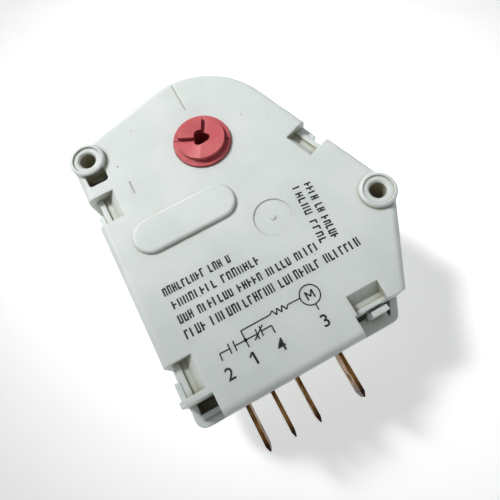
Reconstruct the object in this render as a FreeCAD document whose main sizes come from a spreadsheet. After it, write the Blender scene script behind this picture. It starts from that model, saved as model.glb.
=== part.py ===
import FreeCAD, Part
import math
import os
import re

import Sketcher
from FreeCAD import Placement, Rotation, Vector

# Refrigerator defrost timer: a synchronous motor in the well at the back turns a gear train, whose last
# wheel pushes a ratchet pawl. The ratchet wheel, the cam and the knob are one moulding. Three leaf
# springs ride on the cam and switch between cooling and defrosting.
# Origin: knob axis, at the back of the motor well. +Y points to the round end, the tabs point to -Y,
# and +Z points out of the cover. Lengths are in millimetres and angles in degrees.
SIZES = (
    ("dome_radius", 18.8),
    ("left_boss_x", -24.5),
    ("left_boss_y", 8.4),
    ("right_boss_x", 26.5),
    ("right_boss_y", -29.43),
    ("boss_radius", 4.0),
    ("boss_rise", 1.2),
    ("screw_hole_radius", 1.8),
    ("boss_edge", 0.6),
    ("sink_radius", 3.15),
    ("sink_depth", 0.35),
    ("sink_cone", 0.4),
    ("front_y", -53.6),
    ("front_corner_radius", 2.2),
    ("right_corner_x", 16.6),
    ("wall", 1.6),
    ("well_depth", 11.5),
    ("well_radius", 22.8),
    ("well_edge", 1.0),
    ("split_height", 19.5),
    ("cover_height", 28.0),
    ("cover_edge", 1.7),
    ("pad_x", -11.45),
    ("pad_y", -14.85),
    ("pad_length", 23.4),
    ("pad_width", 8.1),
    ("pad_rise", 0.9),
    ("pad_edge", 0.7),
    ("gate_x", 4.9),
    ("gate_y", -23.7),
    ("gate_radius", 4.1),
    ("gate_sink", 0.2),
    ("gate_nub", 0.55),
    ("mark_width", 0.3),
    ("mark_sink", 0.15),
    ("index_x", 0.4),
    ("index_start", 9.5),
    ("index_length", 8.8),
    ("short_mark_x", -18.3),
    ("short_mark_start", -3.9),
    ("short_mark_length", 3.1),
    ("window_x", -26.6),
    ("window_y", 2.2),
    ("window_length", 4.6),
    ("window_width", 3.4),
    ("window_corner", 0.8),
    ("left_notch_x", -21.8),
    ("left_notch_y", -48.6),
    ("right_notch_x", 8.4),
    ("right_notch_y", -49.3),
    ("notch_wall", 1.3),
    ("ledge_width", 2.7),
    ("ledge_rise", 0.8),
    ("notch_pocket", 4.0),
    ("clip_one_y", -0.6),
    ("clip_two_y", -40.4),
    ("clip_three_along", 16.0),
    ("clip_four_x", 9.0),
    ("clip_four_y", -51.4),
    ("clip_length", 6.9),
    ("clip_slot", 1.8),
    ("clip_shelf", 4.4),
    ("clip_depth", 2.5),
    ("clip_floor", 1.2),
    ("lip_width", 1.2),
    ("lip_rise", 0.5),
    ("ramp_width", 2.0),
    ("clip_sill", 1.8),
    ("window_play", 0.2),
    ("hook_start", 3.2),
    ("hook_length", 3.6),
    ("hook_inset", 0.3),
    ("hook_thickness", 1.2),
    ("hook_barb", 0.6),
    ("hook_gap", 0.1),
    ("hook_barb_height", 1.8),
    ("hook_drop", 0.8),
    ("running_gap", 0.1),
    ("flange_radius", 6.4),
    ("flange_rise", 0.6),
    ("hub_radius", 5.2),
    ("hub_rise", 1.3),
    ("ramp_foot", 0.3),
    ("parting_line", 0.25),
    ("parting_sink", 0.12),
    ("step_angle", 63.0),
    ("ramp_sweep", 90.0),
    ("socket_reach", 3.2),
    ("socket_corner", 1.25),
    ("socket_depth", 6.0),
    ("cam_high", 6.5),
    ("cam_low", 5.4),
    ("cam_height", 5.2),
    ("cam_drop_sweep", 34.0),
    ("cam_drop_angle", 300.0),
    ("cam_lag", 6.0),
    ("cam_foot_radius", 3.0),
    ("cam_post_radius", 2.0),
    ("cam_post_height", 3.2),
    ("ratchet_radius", 7.5),
    ("ratchet_tooth", 0.42),
    ("ratchet_teeth", 90),
    ("ratchet_height", 1.2),
    ("motor_x", -0.5),
    ("motor_y", -27.0),
    ("cup_radius", 21.0),
    ("sheet_steel", 0.8),
    ("claw_count", 15),
    ("claw_ring", 9.3),
    ("claw_width", 1.3),
    ("claw_length", 8.4),
    ("bobbin_radius", 19.9),
    ("bobbin_tube", 10.4),
    ("bobbin_wall", 0.8),
    ("winding_radius", 18.8),
    ("magnet_radius", 8.9),
    ("magnet_bore", 6.0),
    ("magnet_bottom", 3.2),
    ("magnet_height", 7.6),
    ("rotor_sleeve", 1.5),
    ("coil_pin_radius", 0.4),
    ("coil_pin_height", 5.9),
    ("coil_pin_one_x", 9.6),
    ("coil_pin_one_y", -43.2),
    ("coil_pin_two_x", 13.2),
    ("coil_pin_two_y", -40.6),
    ("pin_window", 1.1),
    ("ear_ring", 23.9),
    ("ear_radius", 2.0),
    ("stake_radius", 0.9),
    ("stake_rise", 0.5),
    ("gear_module", 0.25),
    ("wheel_teeth", 48),
    ("pinion_teeth", 8),
    ("addendum", 0.9),
    ("dedendum", 1.12),
    ("gear_slack", 0.05),
    ("wheel_thickness", 0.8),
    ("wheel_step", 1.6),
    ("wheel_start", 0.7),
    ("pinion_length", 1.8),
    ("wheel_hub", 0.9),
    ("end_play", 0.15),
    ("arbor_radius", 0.4),
    ("arbor_clearance", 0.04),
    ("collar_radius", 0.7),
    ("arbor_a_angle", 55.0),
    ("arbor_b_angle", 115.0),
    ("arbor_top_gap", 0.2),
    ("arbor_boss_radius", 1.5),
    ("arbor_boss_drop", 0.6),
    ("eccentric_radius", 1.6),
    ("eccentric_offset", 0.35),
    ("eccentric_height", 1.0),
    ("pawl_ring", 0.9),
    ("pawl_width", 1.1),
    ("pawl_tooth_angle", -140.0),
    ("pawl_gap", 0.2),
    ("tab_width", 6.35),
    ("tab_thickness", 0.8),
    ("tab_rise", 0.275),
    ("tab_reach", 9.3),
    ("tab_inside", 9.6),
    ("tab_shoulder", 0.5),
    ("tab_bevel", 1.1),
    ("tab_hole_radius", 0.9),
    ("tab_hole_back", 4.3),
    ("tab_slot_gap", 0.1),
    ("tab_two_x", -17.6),
    ("tab_pitch", 5.5),
    ("tab_three_x", 3.1),
    ("spring_thickness", 0.35),
    ("spring_width", 5.0),
    ("spring_start", 1.2),
    ("spring_ride", 0.2),
    ("contact_radius", 1.2),
    ("contact_y", -10.0),
    ("contact_head", 0.8),
    ("contact_back", 0.2),
    ("contact_shank", 0.6),
    ("spring_gap", 1.7),
    ("open_gap", 2.1),
    ("rivet_radius", 0.8),
    ("rivet_head", 1.3),
    ("rivet_head_height", 0.4),
    ("rivet_pitch", 3.0),
    ("rivet_inset", 2.2),
    ("resistor_x", 6.0),
    ("resistor_y", -37.5),
    ("resistor_length", 11.0),
    ("resistor_radius", 2.1),
    ("resistor_lift", 0.85),
    ("wire_radius", 0.3),
)
ALIASES = {alias for alias, value in SIZES}

doc = FreeCAD.newDocument("defrost_timer")
sheet = doc.addObject("Spreadsheet::Sheet", "Sizes")
for row, (alias, value) in enumerate(SIZES, start=1):
    sheet.set(f"A{row}", alias)
    sheet.set(f"B{row}", str(value))
    sheet.setAlias(f"B{row}", alias)
doc.recompute()

# Places that several pieces share, as formulas over the sheet
FLOOR = "(well_depth + wall)"
CEILING = "(cover_height - wall)"
LEFT_WALL = "(left_boss_x - boss_radius)"
PLATE_TOP = "(well_depth + wall + sheet_steel)"
CENTRES = "(gear_module * (wheel_teeth + pinion_teeth) / 2 + gear_slack)"
ARBOR_A = (f"(motor_x + {CENTRES} * cos(arbor_a_angle))", f"(motor_y + {CENTRES} * sin(arbor_a_angle))")
ARBOR_B = (
    f"({ARBOR_A[0]} + {CENTRES} * cos(arbor_b_angle))",
    f"({ARBOR_A[1]} + {CENTRES} * sin(arbor_b_angle))",
)
MOTOR = ("motor_x", "motor_y")
RIGHT_EDGE = (
    "(atan2(-right_boss_y; -right_boss_x)"
    " - asin((dome_radius - boss_radius) / sqrt(right_boss_x^2 + right_boss_y^2)))"
)
TAB_MIDDLE = f"(({FLOOR} + {CEILING}) / 2 + tab_rise)"
TAB_BOTTOM = f"({TAB_MIDDLE} - tab_width / 2)"
CAM_BOTTOM = f"({TAB_MIDDLE} - cam_height / 2)"
RATCHET_BOTTOM = f"(({CAM_BOTTOM} + cam_height + {CEILING} - ratchet_height) / 2)"
WIRE_LEVEL = f"({PLATE_TOP} + resistor_lift + resistor_radius)"
# Each clip: name, corner of its pocket on the wall's outer face, and the angle of that wall
CLIPS = (
    ("one", LEFT_WALL, "clip_one_y", "-90"),
    ("two", LEFT_WALL, "clip_two_y", "-90"),
    (
        "three",
        f"(right_boss_x + boss_radius * sin({RIGHT_EDGE}) + clip_three_along * cos({RIGHT_EDGE}))",
        f"(right_boss_y - boss_radius * cos({RIGHT_EDGE}) + clip_three_along * sin({RIGHT_EDGE}))",
        RIGHT_EDGE,
    ),
    ("four", "clip_four_x", "clip_four_y", "0"),
)
EAR_ANGLES = ("25", "160", "240")
TABS = (
    ("2", "tab_two_x"),
    ("1", "(tab_two_x + tab_pitch)"),
    ("4", "(tab_two_x + 2 * tab_pitch)"),
    ("3", "tab_three_x"),
)
UP = Vector(0, 0, 1)


def sized(formula):
    """The formula with each sheet alias written the way an expression needs it."""
    return re.sub(r"[a-z_]+", lambda word: ("Sizes." if word.group() in ALIASES else "") + word.group(), formula)


def measure(formula):
    """The formula's value as a plain number."""
    result = sheet.evalExpression(sized(formula))
    return float(getattr(result, "Value", result))


def bind(item, **formulas):
    for name, formula in formulas.items():
        item.setExpression(name, sized(formula))


def place(item, x="0", y="0", z="0", turn=None, axis=UP):
    item.Placement = Placement(Vector(), Rotation(axis, 0.0 if turn is None else 30.0))
    for letter, formula in (("x", x), ("y", y), ("z", z)):
        item.setExpression(f"Placement.Base.{letter}", sized(formula))
    if turn is not None:
        item.setExpression("Placement.Rotation.Angle", sized(turn))


def cylinder(name, radius, height, x="0", y="0", z="0"):
    item = doc.addObject("Part::Cylinder", name)
    bind(item, Radius=radius, Height=height)
    place(item, x, y, z)
    return item


def cone(name, low_radius, high_radius, height, x, y, z):
    item = doc.addObject("Part::Cone", name)
    bind(item, Radius1=low_radius, Radius2=high_radius, Height=height)
    place(item, x, y, z)
    return item


def sector(name, radius, height, start, sweep, z):
    """A slice of a cylinder on the knob's axis."""
    item = doc.addObject("Part::Cylinder", name)
    bind(item, Radius=radius, Height=height, Angle=sweep)
    place(item, z=z, turn=start)
    return item


def block(name, length, width, height, x, y, z, turn=None):
    item = doc.addObject("Part::Box", name)
    bind(item, Length=length, Width=width, Height=height)
    place(item, x, y, z, turn)
    return item


def cross_pin(name, radius, length, x, y, z):
    """A cylinder that lies along X."""
    item = doc.addObject("Part::Cylinder", name)
    bind(item, Radius=radius, Height=length)
    item.Placement = Placement(Vector(), Rotation(Vector(0, 1, 0), 90))
    for letter, formula in (("x", x), ("y", y), ("z", z)):
        item.setExpression(f"Placement.Base.{letter}", sized(formula))
    return item


def fuse(name, *shapes):
    item = doc.addObject("Part::MultiFuse", name)
    item.Shapes = list(shapes)
    item.Refine = True
    return item


def cut(name, base, *tools):
    item = doc.addObject("Part::Cut", name)
    item.Base = base
    item.Tool = tools[0] if len(tools) == 1 else fuse(f"{name}_tools", *tools)
    item.Refine = True
    return item


def solid(name, shape, x="0", y="0", z="0", turn=None):
    """A feature whose shape is worked out in this file, placed by the sheet."""
    item = doc.addObject("Part::Feature", name)
    item.Shape = shape
    place(item, x, y, z, turn)
    return item


def prism(points, height):
    """The upright prism over a closed outline of flat points."""
    return Part.Face(Part.makePolygon(list(points) + [points[0]])).extrude(Vector(0, 0, height))


def round_edges(name, base, radius, chosen, kind="Part::Fillet"):
    doc.recompute()
    item = doc.addObject(kind, name)
    item.Base = base
    size = measure(radius)
    item.Edges = [(number, size, size) for number, edge in enumerate(base.Shape.Edges, start=1) if chosen(edge)]
    return item


def origin_plane(body, role):
    return next(item for item in body.Origin.OriginFeatures if item.Role == role)


def belt_sketch(body, name, inset, height):
    """The case's outline: a belt round the dome, the two screw posts and the two front corners."""
    centres = (
        (f"({LEFT_WALL} + front_corner_radius)", "(front_y + front_corner_radius)", "front_corner_radius"),
        ("right_corner_x", "(front_y + front_corner_radius)", "front_corner_radius"),
        ("right_boss_x", "right_boss_y", "boss_radius"),
        ("0", "0", "dome_radius"),
        ("left_boss_x", "left_boss_y", "boss_radius"),
    )
    pins = [(Vector(measure(x), measure(y), 0), measure(f"{radius} - {inset}")) for x, y, radius in centres]
    normals = []
    for (start, near), (end, far) in zip(pins, pins[1:] + pins[:1]):
        along = end - start
        lean = (near - far) / along.Length
        along.normalize()
        normals.append(along * lean + Vector(along.y, -along.x, 0) * math.sqrt(1 - lean * lean))
    sketch = body.newObject("Sketcher::SketchObject", name)
    sketch.AttachmentSupport = (origin_plane(body, "XY_Plane"), "")
    sketch.MapMode = "FlatFace"
    sketch.setExpression("AttachmentOffset.Base.z", sized(height))
    for index, (centre, radius) in enumerate(pins):
        first, last = (math.atan2(normal.y, normal.x) for normal in (normals[index - 1], normals[index]))
        last += 2 * math.pi if last < first else 0
        sketch.addGeometry(Part.ArcOfCircle(Part.Circle(centre, UP, radius), first, last))
    for index, (centre, radius) in enumerate(pins):
        end, far = pins[(index + 1) % len(pins)]
        sketch.addGeometry(Part.LineSegment(centre + normals[index] * radius, end + normals[index] * far))
    for index in range(len(pins)):
        line = len(pins) + index
        sketch.addConstraint(Sketcher.Constraint("Tangent", index, 2, line, 1))
        sketch.addConstraint(Sketcher.Constraint("Tangent", line, 2, (index + 1) % len(pins), 1))
    for index, (x, y, radius) in enumerate(centres):
        for kind, formula in (("DistanceX", x), ("DistanceY", y)):
            number = sketch.addConstraint(Sketcher.Constraint(kind, -1, 1, index, 3, measure(formula)))
            sketch.setExpression(f"Constraints[{number}]", sized(formula))
        number = sketch.addConstraint(Sketcher.Constraint("Radius", index, measure(f"{radius} - {inset}")))
        sketch.setExpression(f"Constraints[{number}]", sized(f"{radius} - {inset}"))
    return sketch


def case_half(name, bottom, top, hollow_bottom, hollow_top, edge=None):
    """A shell of the case: the belt padded, its front edge rounded if asked, and hollowed from the joint."""
    body = doc.addObject("PartDesign::Body", name)
    pad = body.newObject("PartDesign::Pad", f"{name}_pad")
    pad.Profile = belt_sketch(body, f"{name}_outline", "0", bottom)
    bind(pad, Length=f"{top} - {bottom}")
    doc.recompute()
    if edge:
        level = measure(top)
        rim = [
            f"Edge{number}"
            for number, line in enumerate(pad.Shape.Edges, start=1)
            if abs(line.BoundBox.ZMin - level) < 0.01 and line.BoundBox.ZLength < 0.01
        ]
        fillet = body.newObject("PartDesign::Fillet", f"{name}_edge")
        fillet.Base = (pad, rim)
        bind(fillet, Radius=edge)
        doc.recompute()
    hollow = body.newObject("PartDesign::Pocket", f"{name}_hollow")
    hollow.Profile = belt_sketch(body, f"{name}_inside", "wall", hollow_bottom)
    hollow.Reversed = True
    bind(hollow, Length=f"{hollow_top} - {hollow_bottom}")
    doc.recompute()
    return body


def beside(clip, name, along, inward, z, length, width, height):
    """A block in a clip's own frame: along its wall, and inward from the wall's outer face."""
    label, x, y, turn = clip
    return block(
        f"{name}_{label}", length, width, height,
        f"{x} + ({along}) * cos({turn}) - ({inward}) * sin({turn})",
        f"{y} + ({along}) * sin({turn}) + ({inward}) * cos({turn})",
        z, turn,
    )


def clip_profile(clip, name, along, length, outline):
    """A form that keeps one section, drawn inward and up, along a clip's wall."""
    label, x, y, turn = clip
    points = [Vector(0, measure(inward), measure(level)) for inward, level in outline]
    form = Part.Face(Part.makePolygon(points + [points[0]])).extrude(Vector(measure(length), 0, 0))
    return solid(
        f"{name}_{label}", form,
        f"{x} + ({along}) * cos({turn})", f"{y} + ({along}) * sin({turn})", turn=turn,
    )


CLIP_FLOOR = "(cover_height - clip_depth)"
LIP_TOP = f"({CLIP_FLOOR} + lip_rise)"
CLIP_SILL = "(split_height + clip_sill)"


def clip_pocket(clip):
    """What a clip takes out of the cover: the hook's slot, and a shallow pocket with a lip and a long ramp."""
    outline = (
        ("-1", "split_height"),
        ("clip_slot", "split_height"),
        ("clip_slot", LIP_TOP),
        ("clip_slot + lip_width", LIP_TOP),
        ("clip_slot + lip_width", CLIP_FLOOR),
        ("clip_slot + clip_shelf - ramp_width", CLIP_FLOOR),
        ("clip_slot + clip_shelf", "cover_height"),
        ("clip_slot + clip_shelf", "cover_height + 1"),
        ("-1", "cover_height + 1"),
    )
    return clip_profile(clip, "pocket", "0", "clip_length", outline)


def clip_window(clip):
    """The window behind the hook, whose sill the barb grips."""
    return beside(
        clip, "window", "hook_start - window_play", "clip_slot - 1", CLIP_SILL,
        "hook_length + 2 * window_play", "clip_floor + 2", "hook_barb_height + 2 * window_play",
    )


def clip_casing(clip):
    """The wall that closes a clip's pocket and slot towards the inside of the cover, as two blocks."""
    return (
        beside(
            clip, "casing", "-clip_floor", "clip_slot - running_gap", f"{CLIP_FLOOR} - clip_floor",
            "clip_length + 2 * clip_floor", "clip_shelf + clip_floor", "clip_depth + clip_floor - wall / 2",
        ),
        beside(
            clip, "screen", "-clip_floor", "clip_slot", "split_height",
            "clip_length + 2 * clip_floor", "clip_floor", f"{CLIP_FLOOR} - split_height",
        ),
    )


def clip_hook(clip):
    """The base's arm that stands in the slot, with a barb that grips the window's sill."""
    hook_top = f"{LIP_TOP} - hook_drop"
    barb_bottom = f"{CLIP_SILL} + hook_gap"
    outline = (
        ("hook_inset", "split_height - wall"),
        ("hook_inset + hook_thickness", "split_height - wall"),
        ("hook_inset + hook_thickness", barb_bottom),
        ("clip_slot + hook_barb", barb_bottom),
        ("clip_slot + hook_barb", f"{barb_bottom} + hook_barb_height / 3"),
        ("hook_inset + hook_thickness", f"{barb_bottom} + hook_barb_height"),
        ("hook_inset + hook_thickness", hook_top),
        ("hook_inset", hook_top),
    )
    return clip_profile(clip, "hook", "hook_start", "hook_length", outline)


def raised_pad():
    """The cover's flat obround pad with a rounded rim."""
    reach = "(pad_length / 2 - pad_width / 2)"
    bar = block(
        "pad_bar", f"2 * {reach}", "pad_width", "pad_rise + wall / 2",
        f"pad_x - {reach}", "pad_y - pad_width / 2", "cover_height - wall / 2",
    )
    ends = [
        cylinder(
            f"pad_end_{order}", "pad_width / 2", "pad_rise + wall / 2",
            f"pad_x {side} {reach}", "pad_y", "cover_height - wall / 2",
        )
        for order, side in enumerate("-+")
    ]
    pad = fuse("pad_plain", bar, *ends)
    level = measure("cover_height + pad_rise")
    return round_edges("pad_rounded", pad, "pad_edge", lambda edge: edge.BoundBox.ZMin > level - 0.01)


def corner_walls():
    """The cover's walls round its two notched front corners."""
    height = f"{CEILING} - split_height"
    return (
        block(
            "left_notch_side", "notch_wall", "left_notch_y - front_y", height,
            "left_notch_x", "front_y", "split_height",
        ),
        block(
            "left_notch_back", f"left_notch_x + notch_wall - {LEFT_WALL}", "notch_wall", height,
            LEFT_WALL, "left_notch_y", "split_height",
        ),
        block(
            "right_notch_side", "notch_wall", "right_notch_y - front_y", height,
            "right_notch_x - notch_wall", "front_y", "split_height",
        ),
        block(
            "right_notch_back", "right_corner_x - right_notch_x + notch_wall + 2 * wall", "notch_wall", height,
            "right_notch_x - notch_wall", "right_notch_y", "split_height",
        ),
    )


def tab_slots(name, bottom, height):
    """The slots in the front wall that the tabs stand in."""
    return [
        block(
            f"{name}_{number}", "tab_thickness + 2 * tab_slot_gap", "2 * wall", height,
            f"{x} - tab_thickness / 2 - tab_slot_gap", "front_y - wall / 2", bottom,
        )
        for number, x in TABS
    ]


def screw_hole(side):
    """The screw's way through the cover, with a shallow round seat and a small cone at its mouth."""
    place_of = (f"{side}_boss_x", f"{side}_boss_y")
    seat = "cover_height + boss_rise - sink_depth"
    return (
        cylinder(f"{side}_screw_hole", "screw_hole_radius", "cover_height + boss_rise + 2", *place_of),
        cylinder(f"{side}_seat", "sink_radius", "sink_depth + 1", *place_of, seat),
        cone(
            f"{side}_cone", "screw_hole_radius", "screw_hole_radius + sink_cone", "sink_cone",
            *place_of, f"{seat} - sink_cone",
        ),
    )


def screw_post(side):
    """A round post with a rounded top, standing a little above the cover."""
    top = measure("cover_height + boss_rise")
    post = cylinder(
        f"{side}_post", "boss_radius", "cover_height + boss_rise - split_height",
        f"{side}_boss_x", f"{side}_boss_y", "split_height",
    )
    return round_edges(f"{side}_post_rounded", post, "boss_edge", lambda edge: edge.BoundBox.ZMin > top - 0.01)


def mould_marks():
    """Shallow marks in the cover's top: the round gate mark with its nub, the index line and a short line."""
    gate = cut(
        "gate_mark",
        cylinder("gate_disc", "gate_radius", "1", "gate_x", "gate_y", "cover_height - gate_sink"),
        cylinder("gate_nub_post", "gate_nub", "gate_sink * 0.8", "gate_x", "gate_y", "cover_height - gate_sink"),
    )
    depth = "cover_height - mark_sink"
    return (
        gate,
        block("index_line", "mark_width", "index_length", "1", "index_x - mark_width / 2", "index_start", depth),
        block(
            "short_line", "mark_width", "short_mark_length", "1",
            "short_mark_x - mark_width / 2", "short_mark_start", depth,
        ),
    )


def sight_window():
    """The opening beside the left post, with rounded corners."""
    plain = block(
        "window", "window_length", "window_width", "2 * wall", "window_x", "window_y", f"{CEILING} - wall / 2",
    )
    return round_edges("window_rounded", plain, "window_corner", lambda edge: edge.BoundBox.ZLength > 1)


def cover():
    shell = case_half("cover_shell", "split_height", "cover_height", "split_height", CEILING, "cover_edge")
    arbor_boss = cylinder(
        "arbor_boss", "arbor_boss_radius", "arbor_boss_drop + wall / 2", *ARBOR_A, f"{CEILING} - arbor_boss_drop",
    )
    arbor_holes = [
        cylinder(f"arbor_hole_{number}", "arbor_radius", ARBOR_SEAT, x, y, f"{CEILING} - arbor_boss_drop")
        for number, (x, y) in enumerate((ARBOR_A, ARBOR_B), start=1)
    ]
    casings = [wall for clip in CLIPS for wall in clip_casing(clip)]
    posts = (screw_post("left"), screw_post("right"))
    solid_form = fuse("cover_solid", shell, raised_pad(), *posts, arbor_boss, *casings)
    corners = (
        block(
            "left_notch", "left_notch_x + dome_radius * 2", "left_notch_y + dome_radius * 4", "cover_height",
            "-dome_radius * 2", "-dome_radius * 4", "split_height - 1",
        ),
        block(
            "right_notch", "dome_radius * 2", "right_notch_y + dome_radius * 4", "cover_height",
            "right_notch_x", "-dome_radius * 4", "split_height - 1",
        ),
    )
    notched = cut("cover_notched", solid_form, *corners)
    walled = fuse("cover_walled", notched, *corner_walls())
    return cut(
        "cover_whole", walled,
        *map(clip_pocket, CLIPS),
        *map(clip_window, CLIPS),
        *arbor_holes,
        *screw_hole("left"),
        *screw_hole("right"),
        *mould_marks(),
        sight_window(),
        cylinder("knob_hole", "flange_radius + running_gap", "cover_height", z=f"{CEILING} - 1"),
        *tab_slots("cover_slot", "split_height - 1", f"{TAB_BOTTOM} + tab_width + tab_slot_gap + 1 - split_height"),
    )


def polar(centre, ring, angle):
    """The place at an angle on a ring round a centre."""
    return (f"({centre[0]} + ({ring}) * cos({angle}))", f"({centre[1]} + ({ring}) * sin({angle}))")


def motor_well():
    """The round cup on the base's back that holds the motor, as an outer form and its hollow."""
    outer = cylinder("well_outer", "well_radius", f"{FLOOR}", *MOTOR)
    rounded = round_edges("well_rounded", outer, "well_edge", lambda edge: edge.BoundBox.ZMax < 0.01)
    hollow = cylinder("well_hollow", "well_radius - wall", "well_depth + 2 * wall", *MOTOR, "wall")
    return rounded, hollow


def base():
    shell = case_half("base_shell", "well_depth", "split_height", "split_height", FLOOR)
    well, hollow = motor_well()
    columns = []
    holes = []
    for side in ("left", "right"):
        axis = (f"{side}_boss_x", f"{side}_boss_y")
        columns.append(cylinder(f"{side}_column", "boss_radius", "split_height - well_depth", *axis, "well_depth"))
        holes.append(cylinder(f"{side}_column_hole", "screw_hole_radius", "split_height", *axis, "well_depth - 1"))
    ledges = (
        block(
            "left_ledge", f"left_notch_x - {LEFT_WALL} - wall", "ledge_width - wall",
            "split_height + ledge_rise - well_depth", f"{LEFT_WALL} + wall", "front_y + wall", "well_depth",
        ),
        block(
            "left_box", f"left_notch_x - {LEFT_WALL} + notch_wall - wall / 2",
            "left_notch_y - front_y + notch_wall - wall / 2", "split_height - well_depth",
            f"{LEFT_WALL} + wall / 2", "front_y + wall / 2", "well_depth",
        ),
        block(
            "right_ledge", "right_corner_x - right_notch_x",
            "clip_four_y - front_y - wall + clip_slot - notch_wall / 2",
            "split_height - well_depth", "right_notch_x", "front_y + wall", "well_depth",
        ),
    )
    cam_post = cylinder("cam_post", "cam_post_radius", "cam_post_height + wall", z="well_depth")
    stakes = [
        cylinder(
            f"stake_{angle}", "stake_radius", "sheet_steel + stake_rise + wall",
            *polar(MOTOR, "ear_ring", angle), "well_depth",
        )
        for angle in EAR_ANGLES
    ]
    left_pocket = block(
        "left_pocket", f"left_notch_x - {LEFT_WALL} - wall", "left_notch_y - front_y - ledge_width",
        "notch_pocket + 1", f"{LEFT_WALL} + wall", "front_y + ledge_width", "split_height - notch_pocket",
    )
    body = fuse("base_solid", shell, well, *columns, *ledges, cam_post, *stakes, *map(clip_hook, CLIPS))
    slots = tab_slots("base_slot", f"{TAB_BOTTOM} - tab_slot_gap", "split_height")
    return cut("base_whole", body, hollow, left_pocket, *holes, *slots)


def ramp_cutter(name, start, sweep, low_first):
    """What a knob ramp takes away: straight radial edges that climb from the flange to the hub's top."""
    low = measure("cover_height + flange_rise + ramp_foot")
    rise = measure("hub_rise - ramp_foot")
    reach = measure("hub_radius") + 1
    sections = []
    steps = 4
    for step in range(steps + 1):
        share = step / steps
        angle = math.radians(start + sweep * share)
        level = low + rise * (share if low_first else 1 - share)
        ray = Vector(math.cos(angle), math.sin(angle), 0)
        corners = [
            ray * 0.2 + Vector(0, 0, level),
            ray * reach + Vector(0, 0, level),
            ray * reach + Vector(0, 0, low + rise + 1),
            ray * 0.2 + Vector(0, 0, low + rise + 1),
        ]
        sections.append(Part.makePolygon(corners + [corners[0]]))
    return solid(name, Part.makeLoft(sections, True, True))


def socket():
    """The rounded-triangle hole that a coin or a finger turns."""
    item = doc.addObject("Part::Prism", "socket_prism")
    item.Polygon = 3
    bind(item, Circumradius="socket_reach", Height="socket_depth + 1")
    place(item, z="cover_height + flange_rise + hub_rise - socket_depth", turn="step_angle - ramp_sweep")
    return round_edges("socket", item, "socket_corner", lambda edge: edge.BoundBox.ZLength > 1)


def toothed(teeth, tip, root, tip_share, root_share, first_tooth, lean=0.0):
    """An outline of straight-flanked teeth round the origin, its first tooth centred on an angle in degrees."""
    points = []
    pitch = 360.0 / teeth
    for tooth in range(teeth):
        middle = first_tooth + tooth * pitch
        for radius, side in (
            (root, -root_share / 2), (tip, lean - tip_share / 2), (tip, lean + tip_share / 2), (root, root_share / 2),
        ):
            angle = math.radians(middle + side * pitch)
            points.append(Vector(radius * math.cos(angle), radius * math.sin(angle), 0))
    return points


def cam_track(name, bottom, lag):
    """One storey of the cam: a high round with a drop that lets a spring fall in."""
    storey = cylinder(f"{name}_high", "cam_high", "cam_height / 2", z=bottom)
    drops = []
    for number in range(2):
        start = f"cam_drop_angle - {180 * number} + {lag}"
        over = "cam_height / 2 + 1"
        below = f"{bottom} - 0.5"
        slice_out = sector(f"{name}_slice_{number}", "cam_high + 1", over, start, "cam_drop_sweep", below)
        keep = cylinder(f"{name}_low_{number}", "cam_low", over, z=below)
        drops.append(cut(f"{name}_drop_{number}", slice_out, keep))
    return cut(name, storey, *drops)


def parting_groove(order, angle):
    """A hair line across the knob's flange, where the two halves of its mould met."""
    return block(
        f"parting_{order}", "flange_radius - hub_radius + 1", "parting_line", "1",
        f"(hub_radius + parting_line) * cos({angle}) + parting_line / 2 * sin({angle})",
        f"(hub_radius + parting_line) * sin({angle}) - parting_line / 2 * cos({angle})",
        "cover_height + flange_rise - parting_sink", angle,
    )


def cam_knob():
    """Knob, ratchet wheel and cam as one moulding, turning in the cover's hole and on the base's post."""
    low = "cover_height + flange_rise"
    tip = measure("ratchet_radius")
    root = tip - measure("ratchet_tooth")
    outline = toothed(int(measure("ratchet_teeth")), tip, root, 0.12, 0.96, measure("pawl_tooth_angle"), lean=0.38)
    foot_bottom = f"({FLOOR} + end_play)"
    ratchet_top = f"({RATCHET_BOTTOM} + ratchet_height)"
    ratchet = solid("ratchet", prism(outline, measure("ratchet_height")), z=RATCHET_BOTTOM)
    body = fuse(
        "knob_solid",
        cylinder("cam_foot", "cam_foot_radius", f"{CAM_BOTTOM} - {foot_bottom}", z=foot_bottom),
        cam_track("lower_track", CAM_BOTTOM, "0"),
        cam_track("upper_track", f"{CAM_BOTTOM} + cam_height / 2", "cam_lag"),
        cylinder("neck", "cam_low", f"{low} - {CAM_BOTTOM}", z=CAM_BOTTOM),
        ratchet,
        cylinder("flange", "flange_radius", f"{low} - {ratchet_top}", z=ratchet_top),
        cylinder("hub", "hub_radius", "hub_rise", z=low),
    )
    step = measure("step_angle")
    sweep = measure("ramp_sweep")
    shaped = cut(
        "knob_shaped", body,
        ramp_cutter("rising_ramp", step, -sweep, True),
        ramp_cutter("falling_ramp", step - 2 * sweep, -sweep, False),
        socket(),
        cylinder("foot_bore", "cam_post_radius + running_gap / 2", "cam_post_height + end_play", z=FLOOR),
    )
    return cut("knob_whole", shaped, parting_groove(1, "step_angle + 90"), parting_groove(2, "step_angle - 90"))


def claws(name, start, bottom):
    """A ring of pole claws that stand round the rotor."""
    count = int(measure("claw_count"))
    turns = [f"({start} + {number * 360.0 / count})" for number in range(count)]
    return [
        block(
            f"{name}_{number}", "sheet_steel", "claw_width", "claw_length",
            f"motor_x + claw_ring * cos({turn}) + claw_width / 2 * sin({turn})",
            f"motor_y + claw_ring * sin({turn}) - claw_width / 2 * cos({turn})",
            bottom, turn,
        )
        for number, turn in enumerate(turns)
    ]


def pin_windows(name, bottom):
    return [
        cylinder(
            f"{name}_{number}", "pin_window", "3 * sheet_steel",
            f"coil_pin_{number}_x", f"coil_pin_{number}_y", bottom,
        )
        for number in ("one", "two")
    ]


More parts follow.
